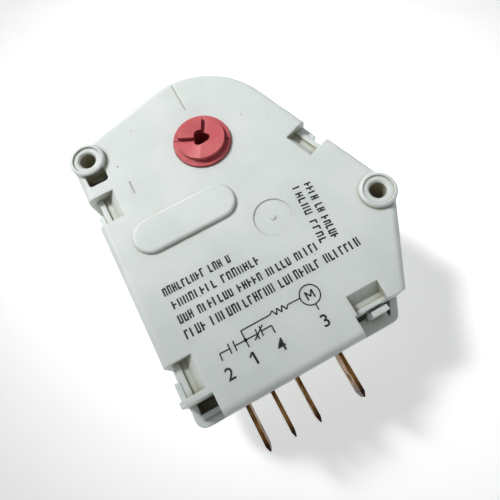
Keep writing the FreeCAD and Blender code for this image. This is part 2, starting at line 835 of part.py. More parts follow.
CUP_BOTTOM = "wall"
CUP_HEIGHT = "(well_depth - sheet_steel)"
CUP_TOP = f"({CUP_BOTTOM} + {CUP_HEIGHT})"


def motor_cup():
    """Deep-drawn steel cup whose floor carries one half of the claws."""
    outer = cylinder("cup_outer", "cup_radius", CUP_HEIGHT, *MOTOR, CUP_BOTTOM)
    inner = cylinder("cup_inner", "cup_radius - sheet_steel", CUP_HEIGHT, *MOTOR, f"{CUP_BOTTOM} + sheet_steel")
    hole = cylinder("cup_axle_hole", "arbor_radius", "3 * sheet_steel", *MOTOR, f"{CUP_BOTTOM} - sheet_steel")
    shell = cut("cup_shell", outer, inner, hole)
    return fuse("cup_whole", shell, *claws("cup_claw", "0", f"{CUP_BOTTOM} + sheet_steel / 2"))


def pole_plate():
    """Steel lid of the motor with the other half of the claws, between those of the cup."""
    plate = cylinder("pole_disc", "cup_radius", "sheet_steel", *MOTOR, CUP_TOP)
    holes = [cylinder("pole_hole", "claw_ring", "3 * sheet_steel", *MOTOR, f"{CUP_TOP} - sheet_steel")]
    opened = cut("pole_opened", plate, *holes, *pin_windows("pole_window", f"{CUP_TOP} - sheet_steel"))
    shift = str(180.0 / measure("claw_count"))
    return fuse("pole_whole", opened, *claws("pole_claw", shift, f"{CUP_TOP} + sheet_steel / 2 - claw_length"))


def bobbin():
    """Moulded spool between the claws and the cup's wall."""
    bottom = f"{CUP_BOTTOM} + sheet_steel"
    height = f"{CUP_HEIGHT} - sheet_steel"
    spool = fuse(
        "spool_solid",
        cylinder("spool_tube", "bobbin_tube + bobbin_wall", height, *MOTOR, bottom),
        cylinder("spool_floor", "bobbin_radius", "bobbin_wall", *MOTOR, bottom),
        cylinder("spool_lid", "bobbin_radius", "bobbin_wall", *MOTOR, f"{CUP_TOP} - bobbin_wall"),
    )
    pins = [
        cylinder(
            f"spool_pin_hole_{number}", "coil_pin_radius", "bobbin_wall * 3",
            f"coil_pin_{number}_x", f"coil_pin_{number}_y", f"{CUP_TOP} - bobbin_wall * 2",
        )
        for number in ("one", "two")
    ]
    return cut("spool_whole", spool, cylinder("spool_bore", "bobbin_tube", CUP_HEIGHT, *MOTOR, bottom), *pins)


def winding():
    height = f"{CUP_HEIGHT} - sheet_steel - 2 * bobbin_wall"
    bottom = f"{CUP_BOTTOM} + sheet_steel + bobbin_wall"
    ring = cylinder("winding_outer", "winding_radius", height, *MOTOR, bottom)
    bore = cylinder("winding_bore", "bobbin_tube + bobbin_wall", CUP_HEIGHT, *MOTOR, bottom)
    return cut("winding_whole", ring, bore)


def coil_pins():
    """Two tinned pins pressed into the bobbin's lid, where the coil's ends are wound on."""
    return fuse("coil_pins_whole", *[
        cylinder(
            f"coil_pin_{number}", "coil_pin_radius", "coil_pin_height",
            f"coil_pin_{number}_x", f"coil_pin_{number}_y", f"{CUP_TOP} - bobbin_wall",
        )
        for number in ("one", "two")
    ])


def rotor_magnet():
    ring = cylinder("magnet_outer", "magnet_radius", "magnet_height", *MOTOR, "magnet_bottom")
    bore = cylinder("magnet_bore_cut", "magnet_bore", "magnet_height", *MOTOR, "magnet_bottom")
    return cut("magnet_whole", ring, bore)


def mesh_angle(start, end):
    """The direction from one arbor to the next, in degrees."""
    return math.degrees(math.atan2(measure(end[1]) - measure(start[1]), measure(end[0]) - measure(start[0])))


def gear(name, teeth, first_tooth, height, centre, bottom):
    """A straight-toothed gear blank on its arbor; teeth are trapezoids with room to run."""
    count = int(measure(teeth))
    module = measure("gear_module")
    tip = module * (count / 2 + measure("addendum"))
    root = module * (count / 2 - measure("dedendum"))
    return solid(name, prism(toothed(count, tip, root, 0.22, 0.6, first_tooth), measure(height)), *centre, bottom)


def wheel_bottom(order):
    return f"({PLATE_TOP} + wheel_start + {order - 1} * wheel_step)"


def train_wheel(order, centre, before, after):
    """A wheel with its pinion and hub; it meshes with the pinion before it and drives the wheel after it."""
    bottom = wheel_bottom(order)
    pinion_bottom = f"{bottom} + wheel_thickness"
    gap_tooth = mesh_angle(centre, before) + 180.0 / measure("wheel_teeth")
    parts = [gear(f"wheel_{order}", "wheel_teeth", gap_tooth, "wheel_thickness", centre, bottom)]
    if after:
        tooth = mesh_angle(centre, after)
        parts.append(gear(f"pinion_{order}", "pinion_teeth", tooth, "pinion_length", centre, pinion_bottom))
    pinion_below = f"{pinion_bottom} + pinion_length - 2 * wheel_step"
    hub_bottom = f"{PLATE_TOP if order == 1 else pinion_below} + end_play"
    parts.append(cylinder(f"hub_{order}", "wheel_hub", f"{bottom} - ({hub_bottom})", *centre, hub_bottom))
    return parts


def bored(name, parts, centre):
    """The parts as one moulding, bored to run on its arbor."""
    bore = cylinder(f"{name}_bore", "arbor_radius + arbor_clearance", "cover_height", *centre, "0")
    return cut(f"{name}_whole", fuse(f"{name}_solid", *parts), bore)


def rotor_hub():
    """Hub pressed into the magnet, its sleeve and the first pinion of the train."""
    sleeve_top = f"({PLATE_TOP} + wheel_start - pinion_length / 4)"
    tooth = mesh_angle(MOTOR, ARBOR_A)
    return bored("rotor_hub", [
        cylinder("rotor_web", "magnet_bore", "magnet_height / 2", *MOTOR, "magnet_bottom + magnet_height / 4"),
        cylinder("rotor_sleeve_tube", "rotor_sleeve", f"{sleeve_top} - magnet_bottom", *MOTOR, "magnet_bottom"),
        gear("rotor_pinion", "pinion_teeth", tooth, "wheel_thickness + pinion_length / 2", MOTOR, sleeve_top),
    ], MOTOR)


ARBOR_SEAT = "(arbor_boss_drop + wall / 2)"
HUB_TOP_A = f"({CEILING} - arbor_boss_drop - end_play * 2)"
HUB_TOP_B = f"({CEILING} - end_play * 2)"
ECCENTRIC = polar(ARBOR_B, "eccentric_offset", "pawl_tooth_angle + 180")
ECCENTRIC_BOTTOM = f"({RATCHET_BOTTOM} + (ratchet_height - eccentric_height) / 2)"


def train():
    """The four wheels of the train, climbing between two arbors."""
    first = train_wheel(1, ARBOR_A, MOTOR, ARBOR_B)
    second = train_wheel(2, ARBOR_B, ARBOR_A, ARBOR_A)
    third = train_wheel(3, ARBOR_A, ARBOR_B, ARBOR_B)
    pinion_top = f"{wheel_bottom(3)} + wheel_thickness + pinion_length"
    third.append(cylinder("hub_3_top", "wheel_hub", f"{HUB_TOP_A} - ({pinion_top})", *ARBOR_A, pinion_top))
    fourth = train_wheel(4, ARBOR_B, ARBOR_A, None)
    wheel_top = f"{wheel_bottom(4)} + wheel_thickness"
    fourth.append(cylinder("hub_4_top", "wheel_hub", f"{HUB_TOP_B} - ({wheel_top})", *ARBOR_B, wheel_top))
    fourth.append(cylinder(
        "eccentric", "eccentric_radius", "eccentric_height + end_play", *ECCENTRIC, f"{ECCENTRIC_BOTTOM} - end_play",
    ))
    return (
        bored("first_wheel", first, ARBOR_A),
        bored("second_wheel", second, ARBOR_B),
        bored("third_wheel", third, ARBOR_A),
        bored("fourth_wheel", fourth, ARBOR_B),
    )


def arbor(name, centre, collar_top):
    """A steel pin pressed into the gear plate and held at its top in the cover."""
    length = f"{CEILING} + wall / 2 - arbor_top_gap - {FLOOR}"
    parts = [cylinder(f"{name}_pin", "arbor_radius", length, *centre, FLOOR)]
    if collar_top:
        collar = "end_play * 2"
        parts.append(cylinder(f"{name}_collar", "collar_radius", collar, *centre, f"{collar_top} - {collar}"))
        return fuse(f"{name}_whole", *parts)
    return parts[0]


def gear_plate():
    """Steel plate over the motor that carries the arbors, held by three stakes of the base."""
    disc = cylinder("plate_disc", "well_radius", "sheet_steel", *MOTOR, FLOOR)
    ears = [
        cylinder(f"ear_{angle}", "ear_radius", "sheet_steel", *polar(MOTOR, "ear_ring", angle), FLOOR)
        for angle in EAR_ANGLES
    ]
    below = f"{FLOOR} - sheet_steel"
    through = "3 * sheet_steel"
    return cut(
        "plate_whole", fuse("plate_solid", disc, *ears),
        cylinder("plate_rotor_hole", "rotor_sleeve + running_gap * 4", through, *MOTOR, below),
        cylinder("plate_arbor_a", "arbor_radius", through, *ARBOR_A, below),
        cylinder("plate_arbor_b", "arbor_radius", through, *ARBOR_B, below),
        *[
            cylinder(f"ear_hole_{angle}", "stake_radius", through, *polar(MOTOR, "ear_ring", angle), below)
            for angle in EAR_ANGLES
        ],
        *pin_windows("plate_window", below),
    )


PINION_TOP_ONE = f"({wheel_bottom(2)} + wheel_thickness + pinion_length - 2 * wheel_step)"


def drive_pawl():
    """Strap that rides on the eccentric and pushes the ratchet wheel with its nose."""
    bore = "eccentric_radius + arbor_clearance"
    ring = cylinder("pawl_ring_outer", f"{bore} + pawl_ring", "eccentric_height", *ECCENTRIC, ECCENTRIC_BOTTOM)
    hole = cylinder("pawl_ring_hole", bore, "eccentric_height", *ECCENTRIC, ECCENTRIC_BOTTOM)
    ring_centre = Vector(measure(ECCENTRIC[0]), measure(ECCENTRIC[1]), 0)
    nose = polar(("0", "0"), "ratchet_radius + pawl_gap + pawl_width / 2", "pawl_tooth_angle")
    nose_centre = Vector(measure(nose[0]), measure(nose[1]), 0)
    along = (nose_centre - ring_centre).normalize()
    inward = Vector(along.y, -along.x, 0)
    half = measure("pawl_width") / 2
    root = ring_centre + along * measure(bore)
    arm = (
        root + inward * 1.4 * half,
        nose_centre + inward * half,
        nose_centre + inward * half + along * half,
        nose_centre - inward * half,
        root - inward * 1.4 * half,
    )
    bar = solid("pawl_arm", prism(arm, measure("eccentric_height")), z=ECCENTRIC_BOTTOM)
    return cut("pawl_whole", fuse("pawl_solid", ring, bar), hole)


TAB_END = "(front_y + tab_inside)"
RIVET_PLACES = (f"({TAB_END} - rivet_inset)", f"({TAB_END} - rivet_inset - rivet_pitch)")


def tab(number, x):
    """A flat quick-connect tab on edge, with bevelled tip, detent hole and a wider tail inside the case."""
    tip = measure("front_y - tab_reach")
    end = measure(TAB_END)
    tail = measure("front_y + wall + tab_slot_gap")
    low = measure(TAB_BOTTOM)
    high = low + measure("tab_width")
    bevel = measure("tab_bevel")
    shoulder = measure("tab_shoulder")
    half = measure("tab_thickness") / 2
    side_view = [
        Vector(0, y, z)
        for y, z in (
            (tip, low + bevel), (tip + bevel, low), (tail, low), (tail, low - shoulder), (end, low - shoulder),
            (end, high + shoulder), (tail, high + shoulder), (tail, high), (tip + bevel, high), (tip, high - bevel),
        )
    ]
    side = Part.Face(Part.makePolygon(side_view + [side_view[0]])).extrude(Vector(4 * half, 0, 0))
    side.translate(Vector(-2 * half, 0, 0))
    top_view = [
        Vector(-half, end, 0), Vector(-half, tip + bevel, 0), Vector(-half / 3, tip, 0),
        Vector(half / 3, tip, 0), Vector(half, tip + bevel, 0), Vector(half, end, 0),
    ]
    blank = solid(f"tab_{number}_blank", side.common(prism(top_view, high + 2 * shoulder)), x)
    hole = cross_pin(
        f"tab_{number}_hole", "tab_hole_radius", "4 * tab_thickness", f"{x} - 2 * tab_thickness",
        "front_y - tab_reach + tab_hole_back", TAB_MIDDLE,
    )
    holes = [hole]
    if number != "3":
        holes += [
            cross_pin(
                f"tab_{number}_rivet_{order}", "rivet_radius", "4 * tab_thickness",
                f"{x} - 2 * tab_thickness", y, TAB_MIDDLE,
            )
            for order, y in enumerate(RIVET_PLACES)
        ]
    return cut(f"tab_{number}_whole", blank, *holes)


def strip(points, thickness):
    """The outline of a bent strip of even thickness along a line of flat points."""
    sides = ([], [])
    for index, point in enumerate(points):
        before = (point - points[index - 1]).normalize() if index else None
        after = (points[index + 1] - point).normalize() if index + 1 < len(points) else None
        along = ((before or after) + (after or before)).normalize()
        normal = Vector(-along.y, along.x, 0)
        square = Vector(-(before or after).y, (before or after).x, 0)
        reach = thickness / 2 / normal.dot(square)
        sides[0].append(point + normal * reach)
        sides[1].append(point - normal * reach)
    return sides[0] + sides[1][::-1]


def ring_point(extra, angle):
    """A point off the cam's high round."""
    radius = measure("cam_high + spring_ride + spring_thickness / 2") + extra
    return Vector(radius * math.cos(math.radians(angle)), radius * math.sin(math.radians(angle)), 0)


SPRING_AT_4 = "(tab_two_x + 2 * tab_pitch - tab_thickness / 2 - spring_thickness / 2)"
SPRING_AT_1 = "(tab_two_x + tab_pitch + tab_thickness / 2 + spring_thickness / 2)"
SPRING_AT_2 = "(tab_two_x + tab_thickness / 2 + spring_thickness / 2)"
LANE_1 = f"({SPRING_AT_4} - spring_gap - spring_thickness)"
LANE_2 = f"({LANE_1} - open_gap - spring_thickness)"


def contact_spring(number, foot, lane, follower):
    """A leaf spring on edge from its tab, along its lane past the contacts, to its follower on the cam."""
    start = measure("front_y + wall + spring_start")
    foot_x = measure(foot)
    lane_x = measure(lane)
    contact = measure("contact_y")
    route = [Vector(foot_x, start, 0)]
    if foot != lane:
        route += [Vector(foot_x, measure(TAB_END) + 8, 0), Vector(lane_x, contact - 9, 0)]
    route += [Vector(lane_x, contact + 6, 0)] + follower
    blank = solid(
        f"spring_{number}_blank", prism(strip(route, measure("spring_thickness")), measure("spring_width")),
        z=f"{TAB_MIDDLE} - spring_width / 2",
    )
    through = "4 * spring_thickness"
    holes = [
        cross_pin(
            f"spring_{number}_rivet_{order}", "rivet_radius", through, f"{foot} - {through} / 2", y, TAB_MIDDLE,
        )
        for order, y in enumerate(RIVET_PLACES)
    ]
    holes.append(cross_pin(
        f"spring_{number}_contact", "contact_shank", through, f"{lane} - {through} / 2", "contact_y", TAB_MIDDLE,
    ))
    return cut(f"spring_{number}_whole", blank, *holes)


def contact(number, lane, left, right):
    """A silver rivet through a spring, with a head of the given height on each side."""
    half = "spring_thickness / 2"
    head = {"tall": ("contact_radius", "contact_head"), "flat": ("contact_radius * 0.7", "contact_back")}
    left_radius, left_height = head[left]
    right_radius, right_height = head[right]
    return fuse(
        f"contact_{number}_whole",
        cross_pin(
            f"contact_{number}_left", left_radius, left_height,
            f"{lane} - {half} - {left_height}", "contact_y", TAB_MIDDLE,
        ),
        cross_pin(f"contact_{number}_shank", "contact_shank", "spring_thickness", f"{lane} - {half}", "contact_y", TAB_MIDDLE),
        cross_pin(f"contact_{number}_right", right_radius, right_height, f"{lane} + {half}", "contact_y", TAB_MIDDLE),
    )


def terminal_rivets():
    """Two rivets through each tab and its spring."""
    stack = "tab_thickness + spring_thickness"
    lefts = (
        f"({SPRING_AT_4} - spring_thickness / 2)",
        f"({SPRING_AT_1} - spring_thickness / 2 - tab_thickness)",
        f"({SPRING_AT_2} - spring_thickness / 2 - tab_thickness)",
    )
    rivets = []
    for number, left in enumerate(lefts):
        for order, y in enumerate(RIVET_PLACES):
            name = f"rivet_{number}_{order}"
            rivets += [
                cross_pin(f"{name}_shank", "rivet_radius", stack, left, y, TAB_MIDDLE),
                cross_pin(f"{name}_left", "rivet_head", "rivet_head_height", f"{left} - rivet_head_height", y, TAB_MIDDLE),
                cross_pin(f"{name}_right", "rivet_head", "rivet_head_height", f"{left} + {stack}", y, TAB_MIDDLE),
            ]
    return fuse("terminal_rivets_whole", *rivets)


def wire(points, radius):
    """A stiff round wire along straight runs, rounded at its corners."""
    runs = [
        Part.makeCylinder(radius, start.distanceToPoint(end), start, end - start)
        for start, end in zip(points, points[1:])
    ]
    corners = [Part.makeSphere(radius, point) for point in points[1:-1]]
    return runs[0].multiFuse(runs[1:] + corners).removeSplitter()


def resistor():
    """Axial resistor in series with the coil; its leads reach the common tab and a coil pin."""
    radius = measure("wire_radius")
    left = measure("resistor_x")
    right = left + measure("resistor_length")
    y = measure("resistor_y")
    common_x = measure("tab_two_x + tab_pitch")
    pin_y = measure("coil_pin_two_y")
    pin_side = measure("coil_pin_two_x + coil_pin_radius")
    corner = right + 4 * radius
    left_lead = [Vector(left, y, 0), Vector(common_x, y, 0), Vector(common_x, measure(TAB_END), 0)]
    right_lead = [Vector(right, y, 0), Vector(corner, y, 0), Vector(corner, pin_y, 0), Vector(pin_side, pin_y, 0)]
    leads = [
        solid(f"resistor_lead_{side}", wire(lead, radius), z=WIRE_LEVEL)
        for side, lead in enumerate((left_lead, right_lead))
    ]
    body = cross_pin("resistor_body", "resistor_radius", "resistor_length", "resistor_x", "resistor_y", WIRE_LEVEL)
    return fuse("resistor_whole", body, *leads)


def motor_lead():
    """Wire from the coil's other pin to the tail of terminal 3."""
    y = measure("coil_pin_one_y")
    tab_x = measure("tab_three_x")
    pin_side = measure("coil_pin_one_x - coil_pin_radius")
    runs = [Vector(pin_side, y, 0), Vector(tab_x, y, 0), Vector(tab_x, measure(TAB_END), 0)]
    return solid("motor_lead_whole", wire(runs, measure("wire_radius")), z=WIRE_LEVEL)


straight_tail = [ring_point(0, 188), ring_point(0, 180) + Vector(0, measure("cam_low") / 5, 0)]
middle_tail = [ring_point(2.1, 160), ring_point(1.4, 146), ring_point(0.1, 140)]
outer_tail = [ring_point(4.3, 158), ring_point(2.7, 130), ring_point(1.5, 112), ring_point(0.1, 106)]

first_wheel, second_wheel, third_wheel, fourth_wheel = train()
PIECES = {
    "base": base(),
    "cover": cover(),
    "cam_knob": cam_knob(),
    **{f"terminal_{number}": tab(number, x) for number, x in TABS},
    "contact_spring_4": contact_spring("4", SPRING_AT_4, SPRING_AT_4, straight_tail),
    "contact_spring_1": contact_spring("1", SPRING_AT_1, LANE_1, middle_tail),
    "contact_spring_2": contact_spring("2", SPRING_AT_2, LANE_2, outer_tail),
    "contact_4": contact("4", SPRING_AT_4, "tall", "flat"),
    "contact_1": contact("1", LANE_1, "tall", "tall"),
    "contact_2": contact("2", LANE_2, "flat", "tall"),
    "terminal_rivets": terminal_rivets(),
    "motor_cup": motor_cup(),
    "pole_plate": pole_plate(),
    "bobbin": bobbin(),
    "winding": winding(),
    "coil_pins": coil_pins(),
    "rotor_magnet": rotor_magnet(),
    "rotor_hub": rotor_hub(),
    "rotor_axle": cylinder(
        "rotor_axle_pin", "arbor_radius", f"{PLATE_TOP} + wheel_step + wheel_thickness - wall", *MOTOR, CUP_BOTTOM,
    ),
    "gear_plate": gear_plate(),
    "arbor_a": arbor("arbor_a", ARBOR_A, None),
    "arbor_b": arbor("arbor_b", ARBOR_B, PINION_TOP_ONE),
    "first_wheel": first_wheel,
    "second_wheel": second_wheel,
    "third_wheel": third_wheel,
    "fourth_wheel": fourth_wheel,
    "drive_pawl": drive_pawl(),
    "resistor": resistor(),
    "motor_lead": motor_lead(),
}

doc.recompute()
for item in doc.Objects:
    if "Invalid" in item.State or "Error" in item.State:
        raise RuntimeError(f"{item.Name} did not build: {item.State}")
os.makedirs("parts", exist_ok=True)
for label, piece in PIECES.items():
    piece.Label = label
    if piece.Shape.isNull() or not piece.Shape.isValid() or piece.Shape.Volume <= 0:
        raise RuntimeError(f"{label} has no valid shape")
    piece.Shape.exportStep(f"parts/{label}.step")
    print(f"{label:18s} solids {len(piece.Shape.Solids)} volume {piece.Shape.Volume:9.2f} mm3")
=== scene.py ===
import math
import random

import bmesh
import bpy
from mathutils import Matrix, Quaternion, Vector


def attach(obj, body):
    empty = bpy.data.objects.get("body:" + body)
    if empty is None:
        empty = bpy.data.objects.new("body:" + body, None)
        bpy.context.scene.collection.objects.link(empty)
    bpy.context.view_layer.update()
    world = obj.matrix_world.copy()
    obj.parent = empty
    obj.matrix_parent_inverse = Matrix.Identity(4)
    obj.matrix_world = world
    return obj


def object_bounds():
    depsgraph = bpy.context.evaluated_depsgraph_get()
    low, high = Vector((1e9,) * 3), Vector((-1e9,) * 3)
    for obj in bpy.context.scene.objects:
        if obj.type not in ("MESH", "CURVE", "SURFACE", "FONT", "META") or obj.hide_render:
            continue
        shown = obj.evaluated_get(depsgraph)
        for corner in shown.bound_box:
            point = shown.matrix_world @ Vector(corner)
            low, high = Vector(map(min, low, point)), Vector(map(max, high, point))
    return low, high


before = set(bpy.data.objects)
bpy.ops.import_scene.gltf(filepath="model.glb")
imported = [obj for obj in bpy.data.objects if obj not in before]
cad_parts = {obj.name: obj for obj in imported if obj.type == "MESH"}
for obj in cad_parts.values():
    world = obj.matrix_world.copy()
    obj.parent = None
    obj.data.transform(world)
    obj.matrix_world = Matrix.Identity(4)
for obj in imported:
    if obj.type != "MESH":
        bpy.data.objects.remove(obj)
cad_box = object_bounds()

# Base: the tray behind everything, with the motor well on its back, four hooks and the screw columns.
# Moulded in white PBT in a spark-eroded mould, so it is satin, slightly waxy and faintly mottled, and
# its sharp corners carry the small round that every moulding has. Painted shade darkens its hollows; dust
# specks dot it.
MM = 0.001
PBT_GRAIN = 0.45  # mould texture in mm; the real one is about 0.05 and would not show
PBT_MOTTLE = 14.0
PBT_CORNER = 0.4
DIRT_SPACING = 5.0
HOLLOW_SHADE_REACH = 5.0


def linear(code):
    """The linear colour of an sRGB hex value."""
    channels = [int(code[place:place + 2], 16) / 255 for place in (0, 2, 4)]
    return (*[c / 12.92 if c <= 0.04045 else ((c + 0.055) / 1.055) ** 2.4 for c in channels], 1.0)


def add(material, kind, settings=(), links=()):
    """Adds a shader node with its settings and its incoming links."""
    made = material.node_tree.nodes.new(kind)
    for key, value in dict(settings).items():
        if isinstance(key, int) or key in made.inputs:
            made.inputs[key].default_value = value
        else:
            setattr(made, key, value)
    for key, source in dict(links).items():
        material.node_tree.links.new(source, made.inputs[key])
    return made


def new_material(name, **sockets):
    """A material with its shader, and Object coordinates turned to millimetres."""
    material = bpy.data.materials.new(name)
    material.use_nodes = True
    shader = material.node_tree.nodes["Principled BSDF"]
    for key, value in sockets.items():
        shader.inputs[key.replace("_", " ")].default_value = value
    place = add(material, "ShaderNodeTexCoord")
    scaled = add(
        material, "ShaderNodeMapping", {"Scale": (1 / MM, 1 / MM, 1 / MM)}, {"Vector": place.outputs["Object"]},
    )
    return material, shader, scaled.outputs["Vector"]


def ramp(material, factor, stops, interpolation="LINEAR"):
    """Colours along a factor, each stop a place and a linear colour."""
    made = add(material, "ShaderNodeValToRGB", (), {"Fac": factor})
    made.color_ramp.interpolation = interpolation
    made.color_ramp.elements[0].position, made.color_ramp.elements[0].color = stops[0]
    made.color_ramp.elements[1].position, made.color_ramp.elements[1].color = stops[-1]
    for position, value in stops[1:-1]:
        made.color_ramp.elements.new(position).color = value
    return made.outputs["Color"]


def grey(level):
    return (level, level, level, 1.0)


def moulded(name, colours, grain, mottle, corner, roughness, specks_and_hollow_shade=None, **sockets):
    """A satin injection-moulded plastic: mottled colour, mould grain, rounded corners, and optionally dust
    specks with painted shade in the hollows.
    """
    material, shader, mm = new_material(name, **sockets)
    links = material.node_tree.links
    cloud = add(material, "ShaderNodeTexNoise", {"Scale": 1 / mottle, "Detail": 3.0}, {"Vector": mm})
    step = 0.28 / (len(colours) - 1)
    stops = [(0.36 + step * place, linear(code)) for place, code in enumerate(colours)]
    colour = ramp(material, cloud.outputs["Fac"], stops)
    if specks_and_hollow_shade:
        # The first colour is painted shade for the hollows. The second is the colour of the dust specks.
        code, speck, spacing, size = specks_and_hollow_shade
        spots = add(material, "ShaderNodeTexVoronoi", {"Scale": 1 / spacing}, {"Vector": mm})
        stops = [(size / spacing, grey(0.8)), (1.6 * size / spacing, grey(0.0))]
        dots = ramp(material, spots.outputs["Distance"], stops)
        patch = ramp(material, cloud.outputs["Fac"], [(0.47, grey(0.0)), (0.53, grey(1.0))])
        share = add(material, "ShaderNodeMath", {"operation": "MULTIPLY"}, {0: dots, 1: patch})
        mixed = add(material, "ShaderNodeMix", {"data_type": "RGBA"}, {0: share.outputs[0], 6: colour})
        mixed.inputs[7].default_value = linear(speck)
        # Painted shade: ambient occlusion blends the first colour into hollows and corners. Only the specks
        # above are dirt.
        hollow_occlusion = add(
            material, "ShaderNodeAmbientOcclusion",
            {"Distance": HOLLOW_SHADE_REACH * MM, "samples": 8, "only_local": True},
        )
        painted_hollow_shade = ramp(material, hollow_occlusion.outputs["AO"], [(0.3, grey(0.9)), (0.85, grey(0.0))])
        specked_and_shaded = add(material, "ShaderNodeMix", {"data_type": "RGBA"}, {0: painted_hollow_shade, 6: mixed.outputs[2]})
        specked_and_shaded.inputs[7].default_value = linear(code)
        colour = specked_and_shaded.outputs[2]
    links.new(colour, shader.inputs["Base Color"])
    texture = add(material, "ShaderNodeTexNoise", {"Scale": 1 / grain, "Detail": 2.0}, {"Vector": mm})
    stops = [(0.3, grey(roughness - 0.06)), (0.7, grey(roughness + 0.06))]
    gloss = ramp(material, texture.outputs["Fac"], stops)
    links.new(gloss, shader.inputs["Roughness"])
    rounded = add(material, "ShaderNodeBevel", {"samples": 6, "Radius": corner * MM})
    bump = add(
        material, "ShaderNodeBump", {"Strength": 0.05, "Distance": 0.05 * MM},
        {"Height": texture.outputs["Fac"], "Normal": rounded.outputs["Normal"]},
    )
    links.new(bump.outputs["Normal"], shader.inputs["Normal"])
    return material


def dress(material, *names):
    """Gives CAD nodes a material."""
    for name in names:
        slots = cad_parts[name].material_slots
        if not slots:
            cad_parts[name].data.materials.append(material)
        for slot in slots:
            slot.material = material


white_pbt = moulded(
    "White PBT, spark-eroded", ("DCE3E0", "E0E7E3", "E5EBE8"), PBT_GRAIN, PBT_MOTTLE, PBT_CORNER, 0.46,
    # 9A9476 is painted shade in the hollows; 5F5B4C is the colour of the dust specks.
    specks_and_hollow_shade=("9A9476", "5F5B4C", DIRT_SPACING, 0.16), IOR=1.5,
    Subsurface_Weight=0.35, Subsurface_Scale=0.0025, Subsurface_Radius=(1.0, 1.0, 0.9),
)
dress(white_pbt, "base")

# Motor cup, pole plate and gear plate: deep-drawn and blanked from zinc-plated steel strip.
# The zinc is a bluish grey with fine rolling lines and a cloudy crystal bloom.
ZINC_CRYSTAL = 2.2
ROLLING_LINE = 0.25
zinc_steel, shader, mm = new_material("Zinc-plated steel strip", Metallic=1.0)
crystals = add(zinc_steel, "ShaderNodeTexVoronoi", {"Scale": 1 / ZINC_CRYSTAL}, {"Vector": mm})
bloom = ramp(
    zinc_steel, crystals.outputs["Color"],
    [(0.0, linear("9CA1A4")), (0.6, linear("B4B9BB")), (1.0, linear("C8CCCD"))],
)
zinc_steel.node_tree.links.new(bloom, shader.inputs["Base Color"])
stretched = add(zinc_steel, "ShaderNodeMapping", {"Scale": (0.04, 1.0, 1.0)}, {"Vector": mm})
rolling = add(
    zinc_steel, "ShaderNodeTexNoise", {"Scale": 1 / ROLLING_LINE, "Detail": 2.0},
    {"Vector": stretched.outputs["Vector"]},
)
shine = ramp(zinc_steel, rolling.outputs["Fac"], [(0.3, grey(0.26)), (0.7, grey(0.44))])
zinc_steel.node_tree.links.new(shine, shader.inputs["Roughness"])
soft = add(zinc_steel, "ShaderNodeBevel", {"samples": 4, "Radius": 0.1 * MM})
lines = add(
    zinc_steel, "ShaderNodeBump", {"Strength": 0.12, "Distance": 0.02 * MM},
    {"Height": rolling.outputs["Fac"], "Normal": soft.outputs["Normal"]},
)
zinc_steel.node_tree.links.new(lines.outputs["Normal"], shader.inputs["Normal"])
dress(zinc_steel, "motor_cup", "pole_plate", "gear_plate")

# Bobbin: black nylon spool between the claws and the cup's wall. It is moulded in one piece, satin,
# and carries the winding and the two coil pins.
black_nylon = moulded("Black nylon, moulded", ("121314", "191A1B", "222324"), 0.4, 9.0, 0.1, 0.5, IOR=1.53)
dress(black_nylon, "bobbin")

# Winding: fine enamelled copper wire, wound in even layers, so its face shows close round ribs
# one wire apart and the warm red-brown of the enamel. Its colour carries painted shade between the
# wires and a painted highlight along each rib.
WIRE_PITCH = 0.3
MOTOR_AXIS = Vector((-0.5, -27.0, 0.0)) * MM
enamelled_copper, shader, mm = new_material(
    "Enamelled copper wire", Metallic=0.9, Roughness=0.3, Coat_Weight=0.5, Coat_Roughness=0.15,
)
layers = add(
    enamelled_copper, "ShaderNodeTexWave",
    {"wave_type": "BANDS", "bands_direction": "Z", "Scale": math.pi / WIRE_PITCH / 10}, {"Vector": mm},
)
# Painted shade and highlight: dark in the grooves between the wires, bright on the crests.
painted_rib_shading = ramp(
    enamelled_copper, layers.outputs["Fac"],
    [(0.0, linear("5E2412")), (0.6, linear("A9532B")), (1.0, linear("C97B48"))],
)
enamelled_copper.node_tree.links.new(painted_rib_shading, shader.inputs["Base Color"])
ribs = add(
    enamelled_copper, "ShaderNodeBump", {"Strength": 0.6, "Distance": 0.08 * MM},
    {"Height": layers.outputs["Fac"]},
)
enamelled_copper.node_tree.links.new(ribs.outputs["Normal"], shader.inputs["Normal"])
dress(enamelled_copper, "winding")

# Coil tape: clear amber polyester film wrapped round the winding, which keeps the wire from touching
# the steel cup. It is one plain hoop, and the lap of its end is left out.
TAPE_RADIUS = 18.9
TAPE_THICKNESS = 0.12
TAPE_LOW, TAPE_HIGH = 4.1, 9.6


def hoop(bm, foot, radius, thickness, height, steps):
    """A ring of rectangular section that stands on a point, its sizes in mm and its radius the middle one."""
    section = bmesh.ops.create_grid(bm, x_segments=1, y_segments=1, size=0.5 * MM)["verts"]
    bmesh.ops.scale(bm, vec=(thickness, height, 1), verts=section)
    bmesh.ops.rotate(bm, cent=(0, 0, 0), matrix=Matrix.Rotation(math.pi / 2, 3, "X"), verts=section)
    bmesh.ops.translate(bm, vec=foot + Vector((radius, 0, height / 2)) * MM, verts=section)
    face = [face for face in bm.faces if set(face.verts) == set(section)]
    bmesh.ops.spin(bm, geom=face, cent=foot, axis=(0, 0, 1), angle=math.tau, steps=steps, use_merge=True)
    bmesh.ops.delete(bm, geom=face, context="FACES_ONLY")


def finish_piece(bm, name, material, body, smooth=True):
    """Turns a bmesh into an object of the scene that rides on a body."""
    bmesh.ops.recalc_face_normals(bm, faces=bm.faces)
    mesh = bpy.data.meshes.new(name)
    bm.to_mesh(mesh)
    bm.free()
    for face in mesh.polygons:
        face.use_smooth = smooth
    mesh.materials.append(material)
    piece = bpy.data.objects.new(name, mesh)
    bpy.context.scene.collection.objects.link(piece)
    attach(piece, body)
    return piece


